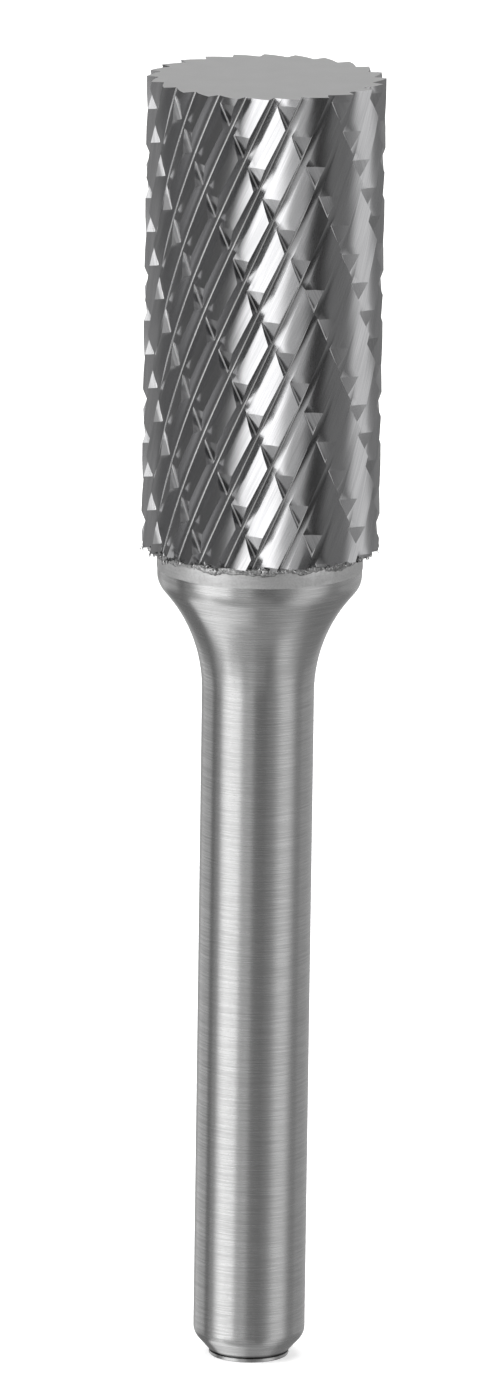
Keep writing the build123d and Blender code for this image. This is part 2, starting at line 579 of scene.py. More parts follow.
def matte_grain():
    """Fine even grain with faint larger patches."""
    inputs = {"Pattern": "Vector", "Grains Per Metre": 16000.0, "Patches Per Metre": 900.0}
    tree, to = new_tree("Shader", "matte_grain", inputs, *SURFACE_OUTPUTS)
    fine, _ = tree.noise(to["Pattern"], to["Grains Per Metre"], detail=3.0, roughness=0.7)
    patches, _ = tree.noise(to["Pattern"], to["Patches Per Metre"])
    mixed = fine * GRAIN_SHARE + patches * PATCH_SHARE
    shade = mixed.ranged(*GRAIN_CONTRAST, shape="SMOOTHSTEP")
    return tree.give(fine, shade)


# ---- materials -------------------------------------------------------------------------------


def node_material(name):
    """New material and its tree."""
    made = bpy.data.materials.new(name)
    made.use_nodes = True
    return made, Tree(made.node_tree)


def kept_material(maker, *details):
    """Metal of its maker's name, made once; the maker gives the inputs of its surface."""
    kept = bpy.data.materials.get(maker.__name__)
    if kept:
        return kept
    made, tree = node_material(maker.__name__)
    tree.fill(tree.made.nodes["Principled BSDF"], {"Metallic": 1.0, **maker(tree, *details)})
    return made


def object_place(tree):
    """Each point's place in the piece, as a vector and as its three parts."""
    place = tree.out("ShaderNodeTexCoord", name="Object")
    return place, *place.parts()


def darker(colour, by):
    """A colour with a share taken off."""
    return tuple((1 - by) * part for part in colour)


def ground_carbide_finish(tree, finish):
    """Ground carbide: lines along each cut, and a matte end face."""
    floor_roughness, end_roughness = 0.5, 0.52
    place, _, _, height = object_place(tree)
    on_end = height.math("GREATER_THAN", HEAD_BOX[1].z - EDGE_SLACK)
    flute_way, notch_way, _ = tree.attribute("ground", "Vector").parts()
    along_flute = tree.point(flute_way, notch_way, 0.0)
    along_notch = tree.point(notch_way, flute_way, 0.0)
    pattern = tree.mix(tree.attribute("cross_cut"), along_flute, along_notch, "VECTOR")
    line_height, line_shade = tree.group(
        grinding_lines, pattern, lines_per_metre=19000.0, runs_per_metre=300.0, roughening=0.6
    )
    grain_height, grain_shade = tree.group(
        matte_grain, place, grains_per_metre=15000.0, patches_per_metre=700.0
    )
    # the cut floors are really matte, and are also painted paler as a highlight along the gullets and notches
    floor = tree.attribute("cut_floor")
    sides = tree.tinted(floor, tree.tinted(line_shade, finish.carbide_dull, finish.carbide), finish.cut_floor)
    end = tree.tinted(grain_shade, darker(finish.end_face, 0.07), finish.end_face)
    side_roughness = tree.mix(floor, tree.mix(line_shade, 0.23, 0.19), floor_roughness)
    relief = tree.mix(on_end, line_height, grain_height * 0.6)
    return {
        "Base Color": tree.tinted(on_end, sides, end),
        "Roughness": tree.mix(on_end, side_roughness, end_roughness),
        "Normal": tree.bump(relief, strength=0.25, distance=0.004 * MM),
    }


def turned_steel_finish(tree, finish, shank):
    """Turned steel: fine rings that stretch each highlight along the axis, and painted shade in the groove at
    the foot.
    """
    _, x, y, z = object_place(tree)
    rings = tree.point(z, x, y)
    line_height, line_shade = tree.group(
        grinding_lines, rings, lines_per_metre=22000.0, runs_per_metre=420.0, roughening=0.7, banding=0.1
    )
    turned = tree.tinted(line_shade, finish.steel_dull, finish.steel)
    # painted shade darkens the groove and fades out a little way up the chamfer
    half_groove = shank.relief_length / 2
    above = z - (shank.foot_height + half_groove)
    faded = above.ranged(half_groove, half_groove * 5, 1.0, 0.0)
    painted_groove_shade = above.math("GREATER_THAN", -half_groove) * faded
    return {
        "Base Color": tree.tinted(painted_groove_shade, turned, finish.groove),
        "Roughness": tree.mix(line_shade, 0.31, 0.26),
        "Normal": tree.bump(line_height, strength=0.18, distance=0.004 * MM),
        "Anisotropic": 0.85,
        "Anisotropic Rotation": 0.25,
        "Tangent": tree.out("ShaderNodeTangent", direction_type="RADIAL", axis="Z"),
    }


def ground_band_finish(tree, finish):
    """Steel ground clean under the braze: pale and matte, with coarser scratches and a smear of braze."""
    smear_length, smear_roughness, smear_relief = 0.62 * MM, 0.36, 5.0
    place, x, y, z = object_place(tree)
    rings = tree.point(z, x, y)
    line_height, line_shade = tree.group(
        grinding_lines, rings, lines_per_metre=9000.0, runs_per_metre=700.0, roughening=0.6
    )
    _, grain_shade = tree.group(
        matte_grain, place, grains_per_metre=9000.0, patches_per_metre=1500.0
    )
    wiped_height, wiped_shade = tree.group(
        matte_grain, place, grains_per_metre=5200.0, patches_per_metre=1300.0
    )
    shade = tree.mix(0.5, line_shade, grain_shade)
    plain = tree.tinted(shade, darker(finish.band, 0.20), finish.band)
    # braze was wiped thinly over the top of the band, and fades out down it
    near = z.ranged(BRAZE_BOX[0].z - smear_length, BRAZE_BOX[0].z)
    smear = near * wiped_shade
    relief = line_height + near * wiped_height * smear_relief
    return {
        "Base Color": tree.tinted(smear, plain, finish.braze),
        "Roughness": tree.mix(smear, tree.mix(grain_shade, 0.62, 0.50), smear_roughness),
        "Normal": tree.bump(relief, strength=0.4, distance=0.008 * MM),
    }


def braze_metal_finish(tree, finish):
    """Braze: bright smears over dark, flux-stained hollows."""
    place = object_place(tree)[0]
    height, shade = tree.group(matte_grain, place, grains_per_metre=9000.0, patches_per_metre=2200.0)
    return {
        "Base Color": tree.tinted(shade, finish.braze_dark, finish.braze),
        "Roughness": tree.mix(shade, 0.5, 0.3),
        "Normal": tree.bump(height, strength=0.6, distance=0.03 * MM),
    }


# ---- the head --------------------------------------------------------------------------------

JOINT_SLACK = 0.0008 * MM  # the units' edges meet within this
CREASE = radians(27.0)  # steeper edges are sharp
SPARE_ROWS = 4  # enough to pass both ends all round
WAVE_START = 0.46  # where the noise passes this, the ground faces wander inwards


def cross_profile(teeth):
    """Arc lengths and depths over one cross cut, the depths both cuts share, and the floor's steps."""
    radius, deep = teeth.crest_radius, teeth.cross_depth
    pitch = 2 * pi * radius / teeth.cross_count
    corner = section_point(0.0, deep, radius)
    wall_edge = section_point(-teeth.cross_wall, 0.0, radius)
    back_edge = section_point(teeth.cross_back, 0.0, radius)
    bend = rounded_corner(wall_edge, corner, back_edge, teeth.cross_radius, 2)
    bottom = [unrolled(point, radius) for point in bend]
    levels = [0.0, bottom[0][1] / 2, bottom[0][1]]
    wall = [(arc_at_depth(wall_edge, corner, level, radius), level) for level in levels[:-1]]
    back = crowned_levels(bend[-1], back_edge, teeth.notch_crown, levels, radius)
    start = back[-1][0] - pitch
    land = [(start, 0.0), ((start + wall[0][0]) / 2, 0.0)]
    run = land + wall + bottom + back[1:]
    floor_from = len(land) + len(wall)
    floor = range(floor_from, floor_from + len(bottom) - 1)
    deepest = max(depth for _, depth in bottom)
    return [(arc - teeth.cross_back, depth) for arc, depth in run], levels + [deepest], floor


def flute_profile(teeth, levels):
    """Arc lengths and depths over one flute, from a crest to the next, and the gullet floor's step."""
    radius = teeth.crest_radius
    pitch = 2 * pi * radius / teeth.flute_count
    crest, following = section_point(0.0, 0.0, radius), section_point(pitch, 0.0, radius)
    face_foot = section_point(teeth.face_lean, teeth.flute_depth, radius)
    back_foot = section_point(teeth.face_lean + teeth.gullet_width, teeth.flute_depth, radius)
    gullet = rounded_corner(crest, face_foot, back_foot, teeth.gullet_radius, 1)
    gullet += rounded_corner(face_foot, back_foot, following, teeth.gullet_radius, 1)
    face = [(arc_at_depth(crest, face_foot, level, radius), level) for level in levels]
    back = crowned_levels(back_foot, following, teeth.back_crown, levels, radius)
    face[0], back[-1] = (0.0, 0.0), (pitch, 0.0)
    floor_from = len(face) + 1
    return face + [unrolled(point, radius) for point in gullet] + back, (floor_from,)


def make_tooth_unit(teeth):
    """One notch of one tooth, unrolled: x along the flute's arc, y along the notch's, z the depth."""
    cross, levels, notch_floor = cross_profile(teeth)
    flute, gullet_floor = flute_profile(teeth, levels)
    rows = len(cross)
    vertices = [(x, y, max(depth, notch_depth)) for x, depth in flute for y, notch_depth in cross]
    faces, cut_by_cross, floor_matte_and_highlight_marks = [], [], []
    for i in range(len(flute) - 1):
        for j in range(rows - 1):
            corners = [(i, j), (i + 1, j), (i + 1, j + 1), (i, j + 1)]
            # how much deeper the flute is than the notch at each corner
            gap = [flute[a][1] - cross[b][1] for a, b in corners]
            index = [a * rows + b for a, b in corners]
            if max(gap) <= DEPTH_SLACK or min(gap) >= -DEPTH_SLACK:
                shapes = [(0, 1, 2, 3)]
            elif abs(gap[0]) + abs(gap[2]) <= abs(gap[1]) + abs(gap[3]):
                shapes = [(0, 1, 2), (0, 2, 3)]
            else:
                shapes = [(0, 1, 3), (1, 2, 3)]
            for shape in shapes:
                in_notch = sum(gap[corner] for corner in shape) < 0
                faces.append([index[corner] for corner in shape])
                cut_by_cross.append(in_notch)
                # a floor face is marked for its matte finish and its painted highlight; a notch floor takes
                # only a share
                floor_matte_and_highlight_marks.append(teeth.notch_matte * (j in notch_floor) if in_notch else i in gullet_floor)
    mesh = bpy.data.meshes.new("tooth_unit")
    mesh.from_pydata(vertices, [], faces)
    for name, values in (("cross_cut", cut_by_cross), ("cut_floor", floor_matte_and_highlight_marks)):
        marks = mesh.attributes.new(name, "FLOAT", "FACE")
        marks.data.foreach_set("value", [float(mark) for mark in values])
    return mesh


def tooth_rows(values):
    """Geometry tree that repeats the unit over the flutes and rolls them up into the head."""
    tree, to = geometry_tree("tooth_rows", values)
    rows, crest = to["Rows"], to["Crest Radius"]
    # the units in a sheet; there are two flutes to a notch, so each pair starts one notch above the last
    index = tree.out("GeometryNodeInputIndex")
    flute = ((index + 0.5) / rows).math("FLOOR")
    row = index - flute * rows
    pair = ((flute + 0.5) * 0.5).math("FLOOR")
    from_top = row - (rows - 2.0) + pair
    spot = tree.point(flute * to["Flute Pitch"], from_top * to["Notch Pitch"], 0.0)
    spots = tree.out("GeometryNodePoints", {"Count": to["Flutes"] * rows, "Position": spot})
    unit = tree.out("GeometryNodeObjectInfo", {"Object": to["Tooth Unit"]}, "Geometry")
    placed = tree.out("GeometryNodeInstanceOnPoints", {"Points": spots, "Instance": unit})
    sheet = tree.out("GeometryNodeRealizeInstances", {0: placed})
    # the sheet's own places are kept for the grinding lines, and then it is rolled up
    flat = tree.out("GeometryNodeInputPosition")
    stored = {"Geometry": sheet, "Name": "ground", "Value": flat}
    kind = "GeometryNodeStoreNamedAttribute"
    marked = tree.out(kind, stored, data_type="FLOAT_VECTOR", domain="CORNER")
    along_flute, along_notch, depth = flat.parts()
    flute_turn = along_flute / crest + to["Flute Bearing"]
    notch_turn = along_notch / crest + to["Cross Bearing"]
    drop = (notch_turn - flute_turn) / (to["Flute Twist"] + to["Notch Twist"])
    bearing = flute_turn + drop * to["Flute Twist"]
    rolled = tree.rolled_spot(crest - depth, bearing, drop + to["Top"])
    joined = tree.joined(tree.moved(marked, Position=rolled), JOINT_SLACK)
    # the ground faces wander inwards a little, and never outwards
    noise, _ = tree.seeded_noise(to["Wave Size"], to["Seed"])
    inward = (tree.math("SUBTRACT", WAVE_START, noise) * 2.0 * to["Waviness"]).math("MINIMUM", 0.0)
    level_way = tree.out("GeometryNodeInputPosition").vector("MULTIPLY", (1.0, 1.0, 0.0))
    wavy = tree.moved(joined, Offset=level_way.vector("NORMALIZE").scaled(inward))
    smooth = tree.out("GeometryNodeSetShadeSmooth", {"Geometry": wavy, "Shade Smooth": True}, domain="FACE")
    # an edge is sharp where it is steep, and where a cross cut's face meets a flute's
    steep = tree.out("GeometryNodeInputMeshEdgeAngle").math("GREATER_THAN", CREASE)
    cut = tree.out("GeometryNodeInputNamedAttribute", {"Name": "cross_cut"}, data_type="FLOAT")
    shared = tree.out("GeometryNodeFieldOnDomain", {0: cut}, data_type="FLOAT", domain="EDGE")
    between = (shared - 0.5).math("ABSOLUTE").math("LESS_THAN", 0.3)
    filled = {"Geometry": smooth, 1: steep.math("MAXIMUM", between), "Shade Smooth": False}
    return tree.give_geometry(tree.out("GeometryNodeSetShadeSmooth", filled, domain="EDGE"), to["Material"])


def trim_and_close(mesh, low, high):
    """Cuts the rolled head square at both ends and closes each end with a flat face."""
    work = bmesh.new()
    work.from_mesh(mesh)
    for level, way in ((high, 1.0), (low, -1.0)):
        everything = work.verts[:] + work.edges[:] + work.faces[:]
        plane = {"plane_co": (0, 0, level), "plane_no": (0, 0, way)}
        bmesh.ops.bisect_plane(work, geom=everything, dist=CUT_SLACK, clear_outer=True, **plane)
        ends = [edge for edge in work.edges if edge.is_boundary]
        rim = [edge for edge in ends if all(at_level(vertex, level) for vertex in edge.verts)]
        for edge in rim:
            edge.smooth = False
        add_fan(work, rim, level)
    work.to_mesh(mesh)
    work.free()


def make_head(teeth, finish):
    """The toothed head as one closed mesh."""
    radius = teeth.crest_radius
    low, high = HEAD_BOX[0].z, HEAD_BOX[1].z
    unit = new_piece("tooth_unit", make_tooth_unit(teeth))
    flute_twist, notch_twist = tan(teeth.flute_helix) / radius, tan(teeth.cross_helix) / radius
    covered = (flute_twist + notch_twist) * (high - low) / (2 * pi / teeth.cross_count)
    values = taken(teeth, "crest_radius flute_bearing cross_bearing waviness wave_size seed") | {
        "Tooth Unit": unit,
        "Flutes": teeth.flute_count,
        "Rows": int(covered) + SPARE_ROWS,
        "Flute Pitch": 2 * pi * radius / teeth.flute_count,
        "Notch Pitch": 2 * pi * radius / teeth.cross_count,
        "Flute Twist": flute_twist,
        "Notch Twist": notch_twist,
        "Top": high,
        "Material": kept_material(ground_carbide_finish, finish),
    }
    mesh = grow_piece("toothed_head", tooth_rows, values)
    bpy.data.objects.remove(unit)
    trim_and_close(mesh, low, high)
    return mesh


# ---- the shank -------------------------------------------------------------------------------


SMALL_BLEND = 2 * MM  # smaller roundings take fewer steps
SMALL_BLEND_STEPS, LARGE_BLEND_STEPS = 6, 14


def shank_outline(shank):
    """Radius and height of each point of the turned outline, from the foot up, and sharp marks."""
    top = BRAZE_BOX[0].z
    foot_radius = shank.shank_radius - shank.chamfer_width
    relief_radius = foot_radius - shank.relief_depth
    neck_radius = shank.collar_radius - shank.band_step
    chamfer_low = shank.foot_height + shank.relief_length
    flare_top = shank.flare_start + shank.flare_length
    band_low = top - shank.band_length
    corners = [
        (foot_radius - shank.foot_edge, 0.0, 0.0),
        (foot_radius, shank.foot_edge, 0.0),
        (foot_radius, shank.foot_height, 0.0),
        (relief_radius, shank.foot_height, 0.0),
        (relief_radius, chamfer_low, 0.0),
        (foot_radius, chamfer_low, 0.0),
        (shank.shank_radius, chamfer_low + shank.chamfer_length, shank.chamfer_radius),
        (shank.shank_radius, shank.flare_start, shank.hollow_radius),
        (neck_radius, flare_top, shank.shoulder_radius),
        (neck_radius, band_low, 0.0),
        (shank.collar_radius, band_low, 0.0),
        (shank.collar_radius, top, 0.0),
    ]
    points = []
    for place, (radius, height, rounding) in enumerate(corners):
        here = Vector((radius, height))
        if rounding:
            before = Vector(corners[place - 1][:2])
            after = Vector(corners[place + 1][:2])
            steps = SMALL_BLEND_STEPS if rounding < SMALL_BLEND else LARGE_BLEND_STEPS
            points += [(point, False) for point in rounded_corner(before, here, after, rounding, steps)]
        else:
            points.append((here, True))
    return points


def make_lathe(name, points, segments):
    """Closed turned mesh round the Z axis from outline points, each with its sharp mark."""
    work = bmesh.new()
    rings = []
    for point, _ in points:
        ring = []
        for step in range(segments):
            turn = 2 * pi * step / segments
            ring.append(work.verts.new((point.x * cos(turn), point.x * sin(turn), point.y)))
        rings.append(ring)
    for lower, upper in zip(rings, rings[1:]):
        for step in range(segments):
            following = (step + 1) % segments
            face = work.faces.new((lower[step], lower[following], upper[following], upper[step]))
            face.smooth = True
    for ring, way in ((rings[0], -1), (rings[-1], 1)):
        centre = work.verts.new((0.0, 0.0, ring[0].co.z))
        for step in range(segments):
            pair = (ring[step], ring[(step + 1) % segments])
            work.faces.new((*(pair if way > 0 else pair[::-1]), centre))
    work.edges.ensure_lookup_table()
    for ring, (_, sharp) in zip(rings, points):
        if sharp:
            for step in range(segments):
                work.edges.get((ring[step], ring[(step + 1) % segments])).smooth = False
    return finished_mesh(work, name)


# ---- the braze and the burrs at the seam -----------------------------------------------------


def run_braze(values):
    """Geometry tree: a fillet of braze from under the teeth down on to the collar, run and lumpy."""
    tree, to = geometry_tree("run_braze", values)
    filled = {"Size X": 1.0, "Size Y": 1.0, "Vertices X": to["Segments"] + 1.0, "Vertices Y": 13}
    sheet = tree.out("GeometryNodeMeshGrid", filled)
    across, down, _ = tree.out("GeometryNodeInputPosition").parts()
    bearing, way = across * (2 * pi), down + 0.5
    # along the section: out under the teeth, down the fillet on to the collar, and in behind its skin;
    # each leg is given by the share of the way at which it starts or ends
    skin, tuck = 0.04 * MM, 0.25 * MM
    out_by, down_by, in_from = 0.25, 0.75, 0.8
    outward = way.ranged(0.0, out_by, 0.0, to["Fillet"] + tuck)
    inward = way.ranged(out_by, down_by, 0.0, to["Fillet"] - skin)
    behind = way.ranged(in_from, 1.0, 0.0, skin + tuck)
    radius = to["Collar Radius"] - tuck + outward - inward - behind
    # how far it has run down comes and goes round the collar, with a ragged edge
    spot = tree.rolled_spot(to["Collar Radius"], bearing, to["Seed"] * 0.01)
    runs = []
    for size, low, high, part in ((to["Run Size"], 0.36, 0.62, 0.7), (to["Lump Size"], 0.3, 0.7, 0.3)):
        noise, _ = tree.noise(spot, tree.math("DIVIDE", 1.0, size))
        runs.append(noise.ranged(low, high) * part)
    run = runs[0] + runs[1]
    height = way.ranged(out_by, down_by, to["High"], to["Low"] - to["Reach"] * run)
    ring = tree.moved(sheet, Position=tree.rolled_spot(radius, bearing, height))
    _, lumps = tree.seeded_noise(to["Lump Size"], to["Seed"], detail=3.0, roughness=0.6)
    lumpy = tree.strayed(tree.joined(ring, 0.001 * MM), lumps, to["Unevenness"])
    return tree.give_smooth(lumpy, to["Material"])


def rim_curve(tree, to):
    """The outline of the teeth's lower end, divided into even steps."""
    rim = tree.out("GeometryNodeObjectInfo", {"Object": to["Rim"]}, "Geometry")
    curve = tree.out("GeometryNodeMeshToCurve", {"Mesh": rim})
    return tree.out("GeometryNodeResampleCurve", {"Curve": curve, "Count": to["Steps"]})


def rolled_lip(values):
    """Geometry tree: the thin rolled burr that wanders along the teeth's lower edge."""
    tree, to = geometry_tree("rolled_lip", values)
    stray_size, swell_size = 0.35 * MM, 0.5 * MM
    _, stray = tree.seeded_noise(stray_size, to["Seed"], detail=3.0, roughness=0.6)
    line = tree.strayed(rim_curve(tree, to), stray, to["Wander"])
    swell, _ = tree.seeded_noise(swell_size, to["Seed"], detail=3.0, roughness=0.7)
    thinnest, thickest = to["Thickness"] * 0.15, to["Thickness"] * 0.5
    half = swell.ranged(0.4, 0.66, thinnest, thickest)
    section = tree.out("GeometryNodeCurvePrimitiveCircle", {"Resolution": 5, "Radius": 1.0})
    tube = tree.out("GeometryNodeCurveToMesh", {"Curve": line, "Profile Curve": section, "Scale": half})
    return tree.give_smooth(tube, to["Material"])


def rim_burrs(values):
    """Geometry tree: copies of one small burr along part of the teeth's lower edge."""
    tree, to = geometry_tree("rim_burrs", values)

    def draw(number, low, high):
        """Random number for each point, different for each number of draw."""
        filled = {2: low, 3: high, "Seed": to["Seed"] + float(number)}
        return tree.out("FunctionNodeRandomValue", filled, 1, data_type="FLOAT")

    x, y, _ = tree.out("GeometryNodeInputPosition").parts()
    lean = draw(1, -0.5, 0.5)
    swing = draw(2, -0.9, 0.2)
    turn = y.math("ARCTAN2", x) + draw(3, -0.6, 0.6)
    size = draw(4, to["Smallest"], to["Largest"])
    chosen = draw(5, 0.0, 1.0).math("LESS_THAN", to["Share"])
    filled = {
        "Points": rim_curve(tree, to),
        "Selection": chosen,
        "Instance": tree.out("GeometryNodeObjectInfo", {"Object": to["Burr"]}, "Geometry"),
        "Rotation": tree.out("FunctionNodeEulerToRotation", {0: tree.point(lean, swing, turn)}),
        "Scale": tree.point(size, size, size),
    }
    placed = tree.out("GeometryNodeInstanceOnPoints", filled)
    solid = tree.out("GeometryNodeRealizeInstances", {0: placed})
    bend_size = 0.12 * MM
    _, bent = tree.seeded_noise(bend_size, to["Seed"])
    return tree.give_smooth(tree.strayed(solid, bent, to["Wander"]), to["Material"])


def burr_values(burr, spots, part, largest):
    """What rim_burrs needs for one kind of burr."""
    return {"Burr": burr, "Steps": spots, "Share": part, "Smallest": largest * 0.35, "Largest": largest}


def make_leaf(name, rows, columns, place):
    """Thin closed leaf; place gives a point from its shares across and down, and 1 for its inner side."""
    work = bmesh.new()
    sheets = []
    for inner in (0, 1):
        sheet = []
        for row in range(rows + 1):
            line = [place(column / columns, row / rows, inner) for column in range(columns + 1)]
            sheet.append([work.verts.new(point) for point in line])
        sheets.append(sheet)
    for sheet in sheets:
        for upper, lower in zip(sheet, sheet[1:]):
            for column in range(columns):
                work.faces.new((upper[column], upper[column + 1], lower[column + 1], lower[column]))
    edge = [(0, column) for column in range(columns)] + [(row, columns) for row in range(rows)]
    edge += [(rows, column) for column in range(columns, 0, -1)] + [(row, 0) for row in range(rows, 0, -1)]
    for (a, b), (c, d) in zip(edge, edge[1:] + edge[:1]):
        work.faces.new((sheets[0][a][b], sheets[0][c][d], sheets[1][c][d], sheets[1][a][b]))
    bmesh.ops.recalc_face_normals(work, faces=work.faces[:])
    return finished_mesh(work, name)


def flake_point(across, down, inner):
    """A flake one unit long hangs from the edge, bowed outwards and drawn to a crooked tip."""
    half_width = 0.55 * (1 - 0.85 * down)
    bow, thickness, crook = 0.24, 0.09, 0.25
    return (bow * sin(pi * down) - thickness * inner, (2 * across - 1) * half_width + crook * down, -down)


def curl_point(across, down, inner):
    """A shaving one unit wide, rolled up below the edge."""
    turns, width, slip = 1.25, 0.8, 0.2
    turn = pi + 2 * pi * turns * down
    radius = 0.5 - 0.26 * down - 0.08 * inner
    return (0.45 + radius * cos(turn), (across - 0.5) * width + slip * down, -0.25 + radius * sin(turn))


def rim_outline(mesh, level, least_radius):
    """Closed outline of a mesh at a level, as a mesh of edges alone."""
    at_end = [vertex.co.copy() for vertex in mesh.vertices if at_level(vertex, level)]
    rim = [point for point in at_end if point.xy.length > least_radius]
    rim.sort(key=lambda point: atan2(point.y, point.x))
    edges = [(place, (place + 1) % len(rim)) for place in range(len(rim))]
    outline = bpy.data.meshes.new("teeth_rim")
    outline.from_pydata(rim, edges, [])
    return outline


def close_openings(mesh):
    """Closes each open rim of a ring with a fan to its centre, facing outwards."""
    work = bmesh.new()
    work.from_mesh(mesh)
    middle = (BRAZE_BOX[0].z + BRAZE_BOX[1].z) / 2
    rims = {}
    for edge in work.edges:
        if edge.is_boundary:
            rims.setdefault(edge.verts[0].co.z > middle, []).append(edge)
    for rim in rims.values():
        add_fan(work, rim, sum(edge.verts[0].co.z for edge in rim) / len(rim))
    bmesh.ops.recalc_face_normals(work, faces=work.faces[:])
    work.to_mesh(mesh)
    work.free()


# ---- the stage -------------------------------------------------------------------------------

WHITE = (1.0, 1.0, 1.0)
FLOOR_GLOW = 0.35
PLAIN_LIGHT, SEEN_LIGHT = 0.62, 1.0  # brightness of the surroundings


def seen_directly(tree):
    """1 for rays from the lens, in reflections and through glass, and 0 for plain light."""
    kinds = ("Is Camera Ray", "Is Glossy Ray", "Is Transmission Ray")
    camera, glossy, through = tree.outputs("ShaderNodeLightPath", {}, *kinds)
    return camera.math("MAXIMUM", glossy).math("MAXIMUM", through)


def make_floor(stage):
    """Pale floor, white to the lens, that keeps the burr's soft shadow."""
    bpy.ops.mesh.primitive_plane_add(size=6.0, location=(0, 0, 0))
    floor = bpy.context.object
    floor.name = "studio_floor"
    made, tree = node_material("studio_floor")
    filled = {
        "Base Color": stage.floor,
        "Roughness": 0.9,
        "Specular IOR Level": 0.0,
        "Emission Color": WHITE,
        "Emission Strength": seen_directly(tree) * FLOOR_GLOW,
    }
    tree.fill(tree.made.nodes["Principled BSDF"], filled)
    floor.data.materials.append(made)
    floor.visible_glossy = False


WALL_TONE = 0.17
PANELS = (
    # what it is, bearings from and to (0 is the camera side, right is plus), fade of its sides in
    # degrees, lowest and highest edge in millimetres, brightness; a later one stands in front
    ("left flag", -205, -80, 8, -100, 420, 0.062),
    ("back card", 132, 200, 4, 120, 420, 0.30),
    ("window", -71, -28, 22, 40, 420, 1.00),
    ("window curtain", -28, -7, 12, 40, 420, 0.30),
    ("front flag", -6, 18, 10, 20, 420, 0.012),
    ("right card", 15, 60, 22, 20, 420, 0.105),
    ("right reflector", 50, 84, 16, 20, 420, 0.46),
    ("right flag", 84, 128, 10, 20, 420, 0.13),
    ("lens flag", -48, 20, 4, -95, 20, 0.02),
    ("shank reflector", -78, -30, 14, -300, -115, 0.72),
    ("shank card", -34, -8, 14, -300, -115, 0.29),
    ("shank flag", -6, 34, 16, -1300, -115, 0.09),
    ("shank window", 44, 76, 18, -1300, -115, 0.36),
    ("shank right flag", 86, 104, 8, -700, -115, 0.11),
    ("shank left flag", -105, -94, 4, -300, -115, 0.08),
    ("shank far card", -150, -108, 6, -300, -115, 0.30),
    ("shoulder reflector", -72, -34, 14, -540, -300, 0.64),
    ("flare reflector", -145, -70, 16, -2100, -800, 0.50),
    ("flare left flag", -185, -98, 8, -760, -330, 0.08),
    ("flare right flag", 100, 172, 10, -1300, -330, 0.10),
    ("notch card", -60, -14, 10, -600, -440, 0.16),
    ("front floor card", -22, 14, 10, -600, -440, 0.26),
    ("right floor card", 30, 118, 14, -600, -440, 0.125),
    ("upper window", -62, -12, 6, 470, 1300, 0.75),
    ("upper card", -12, 30, 6, 470, 1300, 0.28),
    ("upper flag", 30, 120, 6, 470, 1300, 0.12),
)
PANEL_END_SOFTNESS = 45.0  # millimetres over which a panel's ends fade


def soft_panel():
    """Mask of one panel on the wall, with soft sides and ends."""
    inputs = {
        "Bearing": 0.0,
        "Height": 0.0,
        "Middle": 0.0,
        "Half Width": 10.0,
        "Level": 0.0,
        "Half Height": 0.1,
        "Side Softness": 4.0,
        "End Softness": 0.04,
    }
    tree, to = new_tree("Shader", "soft_panel", inputs, ("Mask", "Float"))
    # bearings run round, so the distance from the panel's middle is taken the short way
    apart = (to["Bearing"] - to["Middle"]).math("WRAP", 180.0, -180.0).math("ABSOLUTE")
    above = (to["Height"] - to["Level"]).math("ABSOLUTE")
    masks = []
    for distance, side, softness in ((apart, "Half Width", "Side"), (above, "Half Height", "End")):
        reach = to[softness + " Softness"] * 0.5
        masks.append(distance.ranged(to[side] - reach, to[side] + reach, 1.0, 0.0, "SMOOTHSTEP"))
    return tree.give(masks[0] * masks[1])


def make_wall(stage):
    """Round studio wall with soft panels and dark flags, seen by reflections only."""
    work = bmesh.new()
    radius = stage.wall_radius
    bmesh.ops.create_cone(work, cap_ends=True, segments=96, radius1=radius, radius2=radius, depth=radius * 5)
    mesh = finished_mesh(work, "studio_wall")
    wall = new_piece("studio_wall", mesh)
    made, tree = node_material("studio_wall")
    tree.made.nodes.clear()
    _, x, y, z = object_place(tree)
    bearing = x.math("ARCTAN2", y * -1.0).math("DEGREES")
    tone = WALL_TONE
    for _, left, right, fade, low, high, brightness in PANELS:
        across = ((left + right) / 2, (right - left) / 2)
        up = ((low + high) / 2 * MM, (high - low) / 2 * MM)
        mask = tree.group(soft_panel, bearing, z, *across, *up, fade, PANEL_END_SOFTNESS * MM)[0]
        tone = tree.mix(mask, tone, brightness)
    glow = tree.out("ShaderNodeEmission", {"Color": tone, "Strength": stage.wall_strength})
    tree.place("ShaderNodeOutputMaterial", {"Surface": glow})
    mesh.materials.append(made)
    for kind in ("camera", "diffuse", "transmission", "shadow"):
        setattr(wall, "visible_" + kind, False)


def make_world():
    """White surroundings for the lens, reflections and glass, a little dimmer as plain light."""
    world = bpy.data.worlds.new("studio_world")
    bpy.context.scene.world = world
    world.use_nodes = True
    tree = Tree(world.node_tree)
    tree.made.nodes.clear()
    plain, seen = [
        tree.out("ShaderNodeBackground", {"Color": WHITE, "Strength": strength})
        for strength in (PLAIN_LIGHT, SEEN_LIGHT)
    ]
    mixed = tree.out("ShaderNodeMixShader", {0: seen_directly(tree), 1: plain, 2: seen})
    tree.place("ShaderNodeOutputWorld", {"Surface": mixed})
    world.cycles.sampling_method = "NONE"


def make_lamp(name, spot, size, power):
    """Soft square lamp that shines on the middle of the burr."""
    data = bpy.data.lights.new(name, "AREA")
    data.shape = "SQUARE"
    data.size = size
    data.energy = power
    lamp = new_piece(name, data)
    lamp.location = spot
    middle = Vector((0.0, 0.0, CAD_BOX[1].z / 2))
    lamp.rotation_euler = (middle - Vector(spot)).to_track_quat("-Z", "Y").to_euler()
    lamp.visible_glossy = False
    lamp.visible_camera = False


